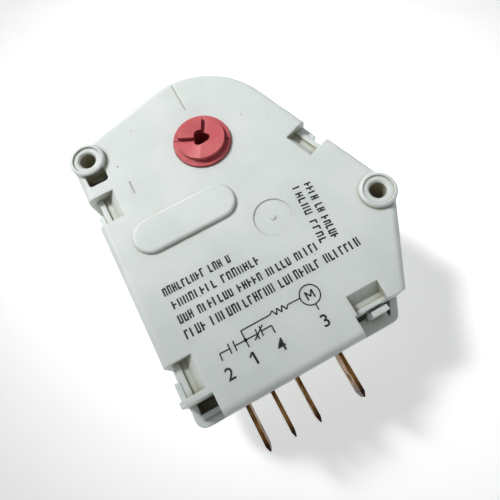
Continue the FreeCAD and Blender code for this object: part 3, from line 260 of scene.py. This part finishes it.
amber_film, shader, mm = new_material(
    "Amber polyester tape", Base_Color=linear("C98B2E"), Roughness=0.22, Transmission_Weight=0.25, IOR=1.57,
)
wrinkle = add(amber_film, "ShaderNodeTexNoise", {"Scale": 0.8, "Detail": 2.0}, {"Vector": mm})
crease = add(
    amber_film, "ShaderNodeBump", {"Strength": 0.3, "Distance": 0.05 * MM}, {"Height": wrinkle.outputs["Fac"]},
)
amber_film.node_tree.links.new(crease.outputs["Normal"], shader.inputs["Normal"])
bm = bmesh.new()
hoop(bm, MOTOR_AXIS + Vector((0, 0, TAPE_LOW)) * MM, TAPE_RADIUS, TAPE_THICKNESS, TAPE_HIGH - TAPE_LOW, 96)
finish_piece(bm, "coil_tape", amber_film, "housing")

# Coil pins: tinned brass pins pressed into the bobbin's lid. The tin is dull in clouds and bright
# between them.
tinned, shader, mm = new_material("Tinned brass, solder-dipped", Metallic=1.0)
cloudy = add(tinned, "ShaderNodeTexNoise", {"Scale": 0.9, "Detail": 3.0}, {"Vector": mm})
tin = ramp(tinned, cloudy.outputs["Fac"], [(0.3, linear("A7A8A4")), (0.7, linear("D0D1CE"))])
tinned.node_tree.links.new(tin, shader.inputs["Base Color"])
dull = ramp(tinned, cloudy.outputs["Fac"], [(0.35, grey(0.2)), (0.65, grey(0.42))])
tinned.node_tree.links.new(dull, shader.inputs["Roughness"])
dress(tinned, "coil_pins")

# Solder collars: where the ends of the winding are wrapped on the pins and dipped, a bright blob of
# solder sits round each pin just above the gear plate.
PIN_PLACES = ((9.6, -43.2), (13.2, -40.6))
COLLAR_LEVEL = 15.0
COLLAR_RADIUS = 0.75
COLLAR_STRETCH = 1.3
bm = bmesh.new()
for x, y in PIN_PLACES:
    stretch = Matrix.Diagonal((1, 1, COLLAR_STRETCH, 1))
    place = Matrix.Translation(Vector((x, y, COLLAR_LEVEL)) * MM) @ stretch
    bmesh.ops.create_uvsphere(bm, u_segments=20, v_segments=12, radius=COLLAR_RADIUS * MM, matrix=place)
finish_piece(bm, "solder_collars", tinned, "housing")

# Rotor magnet: a sintered ferrite ring, dark and slightly grainy with ground faces. It is pressed on
# an acetal hub.
ferrite, shader, mm = new_material("Sintered ferrite, ground", Specular_IOR_Level=0.45)
speckle = add(ferrite, "ShaderNodeTexNoise", {"Scale": 2.5, "Detail": 5.0, "Roughness": 0.7}, {"Vector": mm})
iron = ramp(ferrite, speckle.outputs["Fac"], [(0.3, linear("26272A")), (0.7, linear("3E4044"))])
ferrite.node_tree.links.new(iron, shader.inputs["Base Color"])
ground = ramp(ferrite, speckle.outputs["Fac"], [(0.3, grey(0.42)), (0.7, grey(0.62))])
ferrite.node_tree.links.new(ground, shader.inputs["Roughness"])
pores = add(
    ferrite, "ShaderNodeBump", {"Strength": 0.2, "Distance": 0.05 * MM}, {"Height": speckle.outputs["Fac"]},
)
ferrite.node_tree.links.new(pores.outputs["Normal"], shader.inputs["Normal"])
dress(ferrite, "rotor_magnet")

# Rotor hub, gear train and pawl: natural acetal mouldings, a warm translucent white with a waxy
# surface. The wheels run loose on the arbors.
acetal = moulded(
    "Natural acetal, moulded", ("DAD5C6", "E5E1D4", "EEEBE1"), 0.3, 5.0, 0.05, 0.36,
    Subsurface_Weight=0.15, Subsurface_Scale=0.0006, Subsurface_Radius=(1.0, 0.95, 0.85), IOR=1.48,
)
dress(acetal, "rotor_hub", "first_wheel", "second_wheel", "third_wheel", "fourth_wheel", "drive_pawl")

# Axle and arbors: ground steel pins, pressed into the plates. They are bright, with faint round
# grinding marks.
ground_steel, shader, mm = new_material("Ground steel pin", Metallic=1.0, Base_Color=linear("C3C6C8"))
rings = add(
    ground_steel, "ShaderNodeTexWave",
    {"bands_direction": "Z", "Scale": 1.2, "Distortion": 1.5, "Detail": 2.0}, {"Vector": mm},
)
polish = ramp(ground_steel, rings.outputs["Fac"], [(0.2, grey(0.16)), (0.8, grey(0.3))])
ground_steel.node_tree.links.new(polish, shader.inputs["Roughness"])
dress(ground_steel, "rotor_axle", "arbor_a", "arbor_b")

# Terminals: quarter-inch tabs blanked from brass strip and left bare. The faces are tarnished to a
# bronze brown, darkest at the tips and in streaks along the tab, and bright where they were rubbed.
TAB_TIP_Y = -62.9
tab_brass, shader, mm = new_material("Brass strip, tarnished", Metallic=1.0)
along = add(tab_brass, "ShaderNodeSeparateXYZ", (), {"Vector": mm})
streaked = add(tab_brass, "ShaderNodeMapping", {"Scale": (1.6, 0.35, 0.9)}, {"Vector": mm})
streaks = add(
    tab_brass, "ShaderNodeTexNoise", {"Scale": 1.5, "Detail": 5.0}, {"Vector": streaked.outputs["Vector"]},
)
tone = ramp(
    tab_brass, streaks.outputs["Fac"],
    [(0.3, linear("5A3A1C")), (0.45, linear("8A6133")), (0.6, linear("B98A4E")), (0.75, linear("D9B87C"))],
)
tip = add(
    tab_brass, "ShaderNodeMapRange",
    {"From Min": TAB_TIP_Y + 0.5, "From Max": TAB_TIP_Y + 3.4, "To Min": 1.0, "To Max": 0.0},
    {"Value": along.outputs["Y"]},
)
blotched = add(tab_brass, "ShaderNodeMath", {"operation": "MULTIPLY", 1: 1.3}, {0: tip.outputs["Result"]})
tip_dark = add(tab_brass, "ShaderNodeMix", {"data_type": "RGBA"}, {0: blotched.outputs[0], 6: tone})
tip_dark.inputs[7].default_value = linear("3A1E12")
tab_brass.node_tree.links.new(tip_dark.outputs[2], shader.inputs["Base Color"])
tarnish = ramp(tab_brass, streaks.outputs["Fac"], [(0.3, grey(0.52)), (0.7, grey(0.28))])
tab_brass.node_tree.links.new(tarnish, shader.inputs["Roughness"])
blanked = add(tab_brass, "ShaderNodeBevel", {"samples": 4, "Radius": 0.08 * MM})
scratch = add(
    tab_brass, "ShaderNodeBump", {"Strength": 0.15, "Distance": 0.03 * MM},
    {"Height": streaks.outputs["Fac"], "Normal": blanked.outputs["Normal"]},
)
tab_brass.node_tree.links.new(scratch.outputs["Normal"], shader.inputs["Normal"])
dress(tab_brass, "terminal_1", "terminal_2", "terminal_3", "terminal_4")

# Springs and rivets: phosphor bronze strip, rolled, with a faint lengthwise grain; the rivets that
# join them to the tabs are plain brass.
bronze, shader, mm = new_material("Phosphor bronze strip, rolled", Metallic=1.0, Roughness=0.3)
drawn = add(bronze, "ShaderNodeMapping", {"Scale": (1.0, 0.05, 1.0)}, {"Vector": mm})
grain = add(bronze, "ShaderNodeTexNoise", {"Scale": 5.0, "Detail": 2.0}, {"Vector": drawn.outputs["Vector"]})
sheen = ramp(bronze, grain.outputs["Fac"], [(0.3, linear("B07A4A")), (0.7, linear("CC9A68"))])
bronze.node_tree.links.new(sheen, shader.inputs["Base Color"])
dress(bronze, "contact_spring_1", "contact_spring_2", "contact_spring_4")
rivet_brass, shader, mm = new_material("Brass rivet, headed", Metallic=1.0, Roughness=0.28)
hammer = add(rivet_brass, "ShaderNodeTexNoise", {"Scale": 1.5, "Detail": 2.0}, {"Vector": mm})
yellow = ramp(rivet_brass, hammer.outputs["Fac"], [(0.35, linear("B8924E")), (0.65, linear("D8B876"))])
rivet_brass.node_tree.links.new(yellow, shader.inputs["Base Color"])
dress(rivet_brass, "terminal_rivets")

# Contacts: silver-faced rivets, domed, and headed over in the springs. They are slightly burnt in
# patches by the arc.
silver, shader, mm = new_material("Silver alloy contact", Metallic=1.0)
burnt = add(silver, "ShaderNodeTexNoise", {"Scale": 1.1, "Detail": 4.0}, {"Vector": mm})
sulphide = ramp(
    silver, burnt.outputs["Fac"],
    [(0.3, linear("8E8A84")), (0.55, linear("D6D5D2")), (1.0, linear("E6E6E4"))],
)
silver.node_tree.links.new(sulphide, shader.inputs["Base Color"])
bite = ramp(silver, burnt.outputs["Fac"], [(0.3, grey(0.5)), (0.6, grey(0.22))])
silver.node_tree.links.new(bite, shader.inputs["Roughness"])
dress(silver, "contact_1", "contact_2", "contact_4")

# Dropping resistor: a ceramic rod under blue-grey lacquer with colour rings, on tinned leads. The
# rings lie at set distances from its left end.
RESISTOR_ENDS = (6.0, 17.0)
LEAD_RUN = 6.0
RING_WIDTH = 0.9
lacquer, shader, mm = new_material("Lacquered ceramic", Roughness=0.3, Coat_Weight=0.6, Coat_Roughness=0.12)
across = add(lacquer, "ShaderNodeSeparateXYZ", (), {"Vector": mm})
share = add(
    lacquer, "ShaderNodeMapRange",
    {"From Min": RESISTOR_ENDS[0] - LEAD_RUN, "From Max": RESISTOR_ENDS[1] + LEAD_RUN},
    {"Value": across.outputs["X"]},
)
length = RESISTOR_ENDS[1] - RESISTOR_ENDS[0]
span = length + 2 * LEAD_RUN
body_colour, lead_colour = linear("7E9AA6"), linear("B9BAB6")
stops = [(0.0, lead_colour), (LEAD_RUN / span, body_colour)]
for offset, code in ((1.4, "7A4A22"), (3.2, "151515"), (5.0, "C8641E"), (8.4, "B99A3A")):
    start = LEAD_RUN + offset
    stops += [(start / span, linear(code)), ((start + RING_WIDTH) / span, body_colour)]
stops += [((LEAD_RUN + length) / span, lead_colour)]
rings = ramp(lacquer, share.outputs["Result"], stops, "CONSTANT")
lacquer.node_tree.links.new(rings, shader.inputs["Base Color"])
orange = add(lacquer, "ShaderNodeTexNoise", {"Scale": 0.9, "Detail": 1.0}, {"Vector": mm})
dips = add(
    lacquer, "ShaderNodeBump", {"Strength": 0.2, "Distance": 0.08 * MM}, {"Height": orange.outputs["Fac"]},
)
lacquer.node_tree.links.new(dips.outputs["Normal"], shader.inputs["Normal"])
dress(lacquer, "resistor")

# Motor lead: stranded wire in red PVC, soft and slightly glossy. It joins a coil pin to the motor's
# tab.
red_pvc = moulded("Red PVC insulation", ("7E1512", "96201A", "A62A20"), 0.3, 4.0, 0.05, 0.38, IOR=1.53)
dress(red_pvc, "motor_lead")

# Cam and knob: one moulding in salmon-red acetal. The knob's flange and hub are satin, with fine dust specks;
# painted shade darkens the corners, and darkens the socket to a dark red.
salmon = moulded(
    "Salmon acetal, moulded", ("C4545A", "CE5F64", "D66B6E"), 0.4, 6.0, 0.12, 0.42,
    # The first 8C3038 is painted shade in the corners and the socket; the second is the colour of the dust
    # specks.
    specks_and_hollow_shade=("8C3038", "8C3038", 5.0, 0.12), Subsurface_Weight=0.1, Subsurface_Scale=0.0006, IOR=1.48,
)
dress(salmon, "cam_knob")

# Cover: the deep cap that clips over the base, with a flat printed face. It is moulded in the same
# white PBT.
dress(white_pbt, "cover")

# Print on the cover: one pass of pad-printed black ink, a few hundredths thick. The upper lines are
# rows of strokes without meaning; below them stand the switch's circuit and the tabs' numbers.
COVER_TOP = 28.0
INK_THICKNESS = 0.03
INK_LIFT = 0.004
LINE_WIDTH = 0.27
BLOCK_WIDTH = 0.36
SIGN_WIDTH = 0.46
LETTER_WIDTH = 0.32
WORD_GAP = 0.8  # in letters
FIGURE_HEIGHT = 2.5
FIGURE_SWELL = 0.04
CAPITAL_SHARE = 0.72  # of the font's size
ink, shader, mm = new_material("Pad-printed black ink", Roughness=0.5)
patchy = add(ink, "ShaderNodeTexNoise", {"Scale": 4.0, "Detail": 3.0}, {"Vector": mm})
black = ramp(
    ink, patchy.outputs["Fac"],
    [(0.3, linear("1B1D1F")), (0.72, linear("2C2E30")), (0.85, linear("4A4C4D"))],
)
ink.node_tree.links.new(black, shader.inputs["Base Color"])
film = ramp(ink, patchy.outputs["Fac"], [(0.3, grey(0.42)), (0.7, grey(0.6))])
ink.node_tree.links.new(film, shader.inputs["Roughness"])


def bar(bm, start, end, width=LINE_WIDTH):
    """A printed stroke from one flat point to another, in mm."""
    run = Vector(end) - Vector(start)
    middle = (Vector(start) + Vector(end)) / 2
    turn = Matrix.Rotation(math.atan2(run.y, run.x), 4, "Z")
    place = Matrix.Translation(Vector((middle.x, middle.y, COVER_TOP + INK_LIFT + INK_THICKNESS / 2)) * MM)
    size = Matrix.Diagonal((run.length * MM, width * MM, INK_THICKNESS * MM, 1.0))
    bmesh.ops.create_cube(bm, size=1.0, matrix=place @ turn @ size)


def block_row(bm, start, end, height, words, dice):
    """A row of word-long groups of upright and level strokes, in place of a line of print."""
    run = Vector(end) - Vector(start)
    along = run.normalized()
    up = Vector((-along.y, along.x))
    pitch = run.length / (sum(words) + WORD_GAP * (len(words) - 1))
    at = 0.0
    for word in words:
        for _ in range(word):
            tall = height * dice.uniform(0.86, 1.0)
            foot = Vector(start) + along * (at + 0.3 * pitch)
            bar(bm, foot, foot + up * tall, BLOCK_WIDTH)
            if dice.random() < 0.75:
                level = up * tall * dice.choice((0.08, 0.5, 0.92))
                bar(bm, foot + level, foot + level + along * 0.55 * pitch, BLOCK_WIDTH)
            if dice.random() < 0.45:
                far = foot + along * 0.5 * pitch
                bar(bm, far, far + up * tall, BLOCK_WIDTH * 0.8)
            at += pitch
        at += WORD_GAP * pitch


dice = random.Random(7)
bm = bmesh.new()
for start, end, height, words in (
    ((-22.3, -28.0), (-7.1, -28.0), 1.9, (9, 3, 1)),
    ((-21.8, -31.2), (-2.1, -31.2), 1.9, (8, 7)),
    ((-21.9, -34.4), (9.8, -34.4), 1.9, (3, 7, 5, 5, 5)),
    ((-22.0, -37.7), (17.3, -37.7), 2.0, (4, 12, 8, 7)),
    ((11.5, -19.8), (10.3, -33.7), 1.7, (5, 4)),
    ((14.1, -20.2), (12.8, -33.9), 1.7, (4, 2, 5)),
):
    block_row(bm, start, end, height, words, dice)
finish_piece(bm, "print_rows", ink, "housing", smooth=False)

CIRCLE_CENTRE = Vector((3.1, -41.5))
CIRCLE_RADIUS = 2.05
JOINT_CENTRE = (-12.0, -43.15)
JOINT_RADIUS = 0.36
bm = bmesh.new()
zigzag = [(-5.6, -41.2)]
zigzag += [(-4.95 + 0.55 * step, -41.2 + (-0.62 if step % 2 else 0.55)) for step in range(6)]
zigzag += [(-1.65, -41.1)]
strokes = [
    ((-17.6, -44.5), (-17.5, -43.05)), ((-17.5, -43.05), (-15.4, -43.15)), ((-15.35, -42.1), (-15.45, -44.2)),
    ((-14.25, -42.1), (-14.35, -44.2)), ((-14.3, -43.15), (-9.5, -43.2)), ((-12.0, -43.15), (-12.0, -44.7)),
    ((-12.0, -43.15), (-12.0, -41.2)), ((-12.0, -41.2), (-5.6, -41.2)), ((-9.45, -42.2), (-9.55, -44.3)),
    ((-8.5, -42.0), (-8.6, -44.1)), ((-10.4, -44.1), (-7.8, -42.1)), ((-8.55, -43.1), (-6.35, -43.1)),
    ((-6.35, -43.1), (-6.35, -44.7)), ((-1.65, -41.1), (1.05, -41.2)), ((3.15, -43.55), (3.15, -44.9)),
]
for start, end in strokes + list(zip(zigzag, zigzag[1:])):
    bar(bm, start, end)
hoop(bm, Vector((*CIRCLE_CENTRE, COVER_TOP + INK_LIFT)) * MM, CIRCLE_RADIUS, LINE_WIDTH, INK_THICKNESS, 48)
bmesh.ops.create_cone(
    bm, cap_ends=True, segments=20, radius1=JOINT_RADIUS * MM, radius2=JOINT_RADIUS * MM,
    depth=INK_THICKNESS * MM,
    matrix=Matrix.Translation(Vector((*JOINT_CENTRE, COVER_TOP + INK_LIFT + INK_THICKNESS / 2)) * MM),
)
finish_piece(bm, "print_circuit", ink, "housing", smooth=False)


def printed_sign(name, text, centre, height, swell):
    """A numeral or letter in ink, its middle at a flat point in mm, its strokes swollen by a width."""
    curve = bpy.data.curves.new(name, "FONT")
    curve.body = text
    curve.align_x = "CENTER"
    curve.align_y = "CENTER"
    curve.size = height * MM / CAPITAL_SHARE
    curve.offset = swell * MM
    curve.extrude = INK_THICKNESS / 2 * MM
    curve.resolution_u = 4
    lettered = bpy.data.objects.new(name, curve)
    bpy.context.scene.collection.objects.link(lettered)
    bpy.context.view_layer.update()
    flat = bpy.data.meshes.new_from_object(lettered)
    bpy.data.objects.remove(lettered)
    bm = bmesh.new()
    bm.from_mesh(flat)
    bpy.data.meshes.remove(flat)
    bmesh.ops.remove_doubles(bm, verts=bm.verts, dist=1e-8)
    low = Vector([min(v.co[axis] for v in bm.verts) for axis in range(3)])
    high = Vector([max(v.co[axis] for v in bm.verts) for axis in range(3)])
    target = Vector((*centre, COVER_TOP + INK_LIFT + INK_THICKNESS / 2)) * MM
    bmesh.ops.translate(bm, vec=target - (low + high) / 2, verts=bm.verts)
    return finish_piece(bm, name, ink, "housing", smooth=False)


for text, place in (("2", (-17.46, -47.22)), ("4", (-6.48, -47.14)), ("3", (3.11, -47.18))):
    printed_sign(f"print_number_{text}", text, place, FIGURE_HEIGHT, FIGURE_SWELL)
ONE_FOOT, ONE_HEAD, ONE_FLAG = (-11.85, -48.15), (-11.95, -45.7), (-12.75, -46.45)
bm = bmesh.new()
bar(bm, ONE_FOOT, ONE_HEAD, SIGN_WIDTH)
bar(bm, ONE_FLAG, ONE_HEAD, SIGN_WIDTH * 0.8)
finish_piece(bm, "print_number_1", ink, "housing", smooth=False)
LETTER_HALF = Vector((0.72, 0.88))
LETTER_DIP = 0.35
bm = bmesh.new()
low_left, high_right = CIRCLE_CENTRE - LETTER_HALF, CIRCLE_CENTRE + LETTER_HALF
corners = (
    (low_left.x, low_left.y), (low_left.x, high_right.y), (CIRCLE_CENTRE.x, CIRCLE_CENTRE.y - LETTER_DIP),
    (high_right.x, high_right.y), (high_right.x, low_left.y),
)
for start, end in zip(corners, corners[1:]):
    bar(bm, start, end, LETTER_WIDTH)
finish_piece(bm, "print_motor_sign", ink, "housing", smooth=False)

# Floor, light and camera: a plain pale table lit from below, one soft light with a narrow beam on the
# domed end, so that the terminal end lies darker, and a short lens close over the terminal end.
FLOOR_SIZE = 1.6
FLOOR_GAP = 0.0002
FLOOR_GLOW = 0.4
KEY_PLACE = Vector((-0.16, 0.26, 0.36))
KEY_SIZE = 0.16
KEY_POWER = 0.062
KEY_AIM = Vector((0.006, 0.018, 0.028))
KEY_SPREAD = math.radians(20)
WORLD_STRENGTH = 0.24
FILL_PLACE = Vector((0.3, -0.15, 0.4))
FILL_POWER = 0.1
FILL_SIZE = 0.35
CAMERA_PLACE = Vector((-10.48, -54.16, 110.58)) * MM
CAMERA_TARGET = Vector((-2.736, -27.688, 28.0)) * MM
CAMERA_ROLL = math.radians(-12.54)
CAMERA_LENS = 30.86

pale, shader, mm = new_material(
    "Pale table top, lit from below", Roughness=0.75,
    Emission_Color=linear("FFFFFF"), Emission_Strength=FLOOR_GLOW,
)
board = add(pale, "ShaderNodeTexNoise", {"Scale": 0.02, "Detail": 3.0}, {"Vector": mm})
paper = ramp(pale, board.outputs["Fac"], [(0.35, linear("FBFBFB")), (0.65, linear("FEFEFE"))])
pale.node_tree.links.new(paper, shader.inputs["Base Color"])
bm = bmesh.new()
bmesh.ops.create_grid(bm, x_segments=1, y_segments=1, size=FLOOR_SIZE / 2)
bmesh.ops.translate(bm, vec=(0, 0, cad_box[0].z - FLOOR_GAP), verts=bm.verts)
mesh = bpy.data.meshes.new("table_top")
bm.to_mesh(mesh)
bm.free()
mesh.materials.append(pale)
table_top = bpy.data.objects.new("table_top", mesh)
bpy.context.scene.collection.objects.link(table_top)


def soft_light(name, place, aim, size, power, spread=math.pi):
    """A round area light at a place, turned to what it lights."""
    lamp = bpy.data.lights.new(name, "AREA")
    lamp.shape = "DISK"
    lamp.size = size
    lamp.energy = power
    lamp.spread = spread
    holder = bpy.data.objects.new(name, lamp)
    holder.location = place
    holder.rotation_mode = "QUATERNION"
    holder.rotation_quaternion = (aim - place).to_track_quat("-Z", "Y")
    bpy.context.scene.collection.objects.link(holder)


soft_light("key_light", KEY_PLACE, KEY_AIM, KEY_SIZE, KEY_POWER, KEY_SPREAD)
soft_light("fill_light", FILL_PLACE, CAMERA_TARGET, FILL_SIZE, FILL_POWER)
world = bpy.data.worlds.new("studio")
world.use_nodes = True
world.node_tree.nodes["Background"].inputs["Color"].default_value = linear("F2F4F5")
world.node_tree.nodes["Background"].inputs["Strength"].default_value = WORLD_STRENGTH
bpy.context.scene.world = world
bpy.context.scene.view_settings.view_transform = "Standard"

camera = bpy.data.objects.new("camera", bpy.data.cameras.new("camera"))
camera.data.lens = CAMERA_LENS
camera.data.sensor_width = 36.0
camera.data.clip_start = 0.005
camera.location = CAMERA_PLACE
camera.rotation_mode = "QUATERNION"
looking = (CAMERA_TARGET - CAMERA_PLACE).to_track_quat("-Z", "Y")
camera.rotation_quaternion = looking @ Quaternion((0, 0, 1), CAMERA_ROLL)
bpy.context.scene.collection.objects.link(camera)
bpy.context.scene.camera = camera
